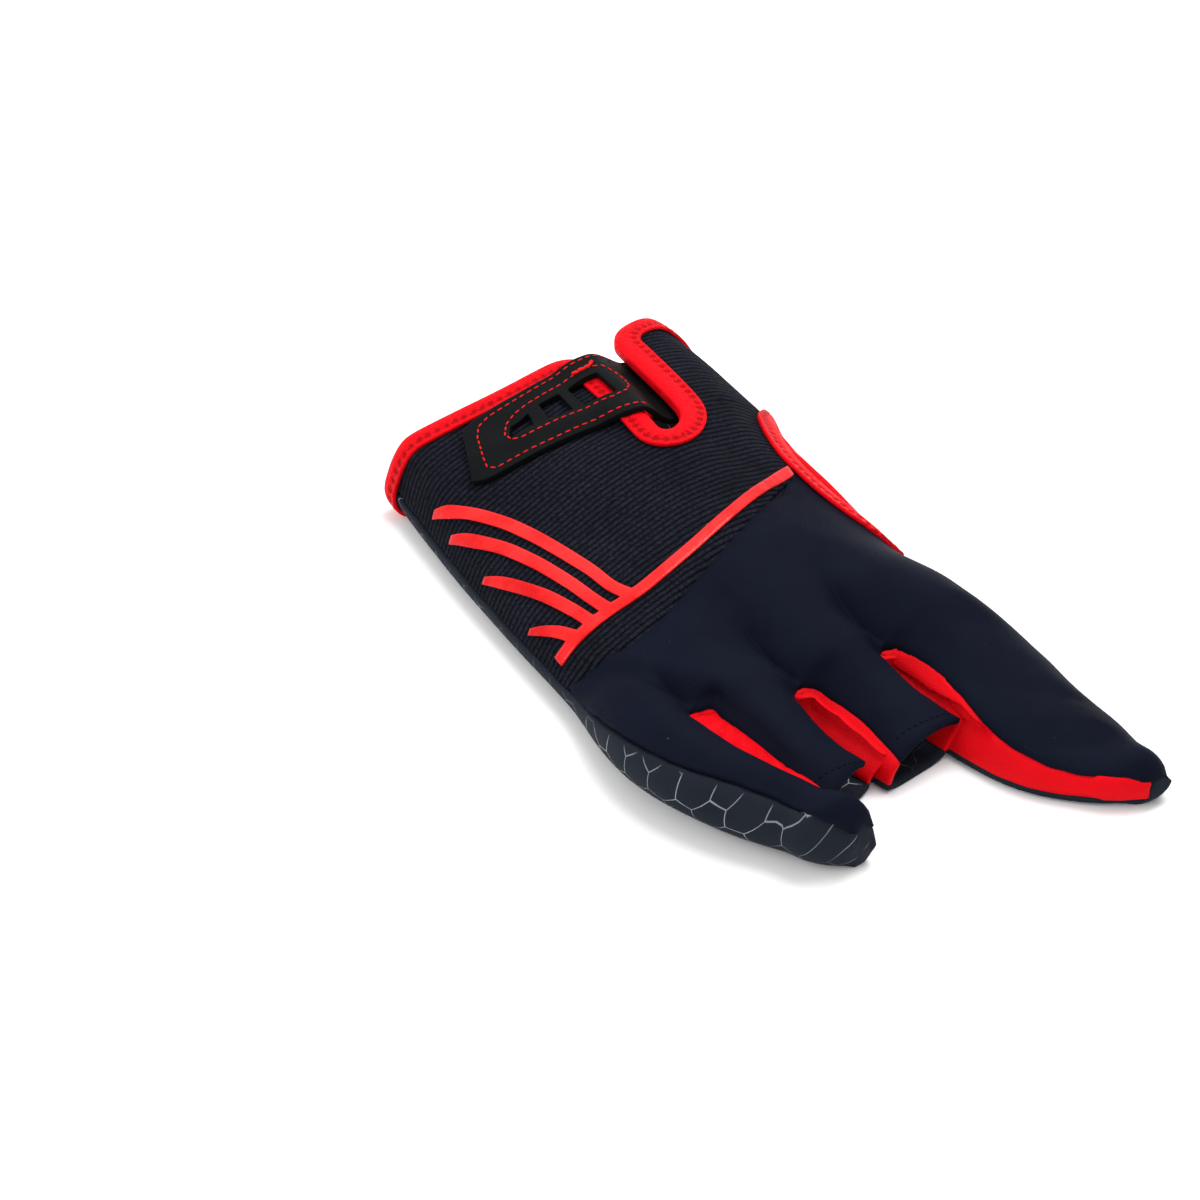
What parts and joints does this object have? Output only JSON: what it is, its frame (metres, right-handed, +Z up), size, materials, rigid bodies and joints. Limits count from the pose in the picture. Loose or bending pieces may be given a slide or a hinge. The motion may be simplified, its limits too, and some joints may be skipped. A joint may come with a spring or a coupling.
{
  "type": "bowling glove",
  "caption": "Right-hand bowling glove in dark stretch cloth with red gussets, red bound edges, red stripes and a black wrist strap, lying on its palm.",
  "frame": {"origin": "Middle of the glove's bounding box, on the surface it lies on", "axes": "+X from the cuff to the fingertips, +Y to the thumb side, +Z up out of the back of the hand"},
  "size_m": [0.1898, 0.111, 0.0325],
  "materials": {
    "ribbed_knit": "ribbed stretch knit",
    "stretch_cloth": "smooth stretch cloth",
    "printed_microfibre": "microfibre with thin printed honeycomb lines",
    "red_stretch_cloth": "smooth stretch cloth",
    "red_tape": "folded and stitched tape",
    "strap_cloth": "matt synthetic leather with red stitching",
    "stripe_film": "glossy raised print"
  },
  "bodies": {
    "root": {"back_panel": "ribbed_knit", "finger_back": "stretch_cloth", "palm_panel": "printed_microfibre", "gusset_index_middle": "red_stretch_cloth", "gusset_middle_ring": "red_stretch_cloth", "gusset_ring_little": "red_stretch_cloth", "cuff_binding": "red_tape", "thumb_binding": "red_tape", "wrist_strap": "strap_cloth", "stripe_print": "stripe_film"}
  },
  "joints": []
}
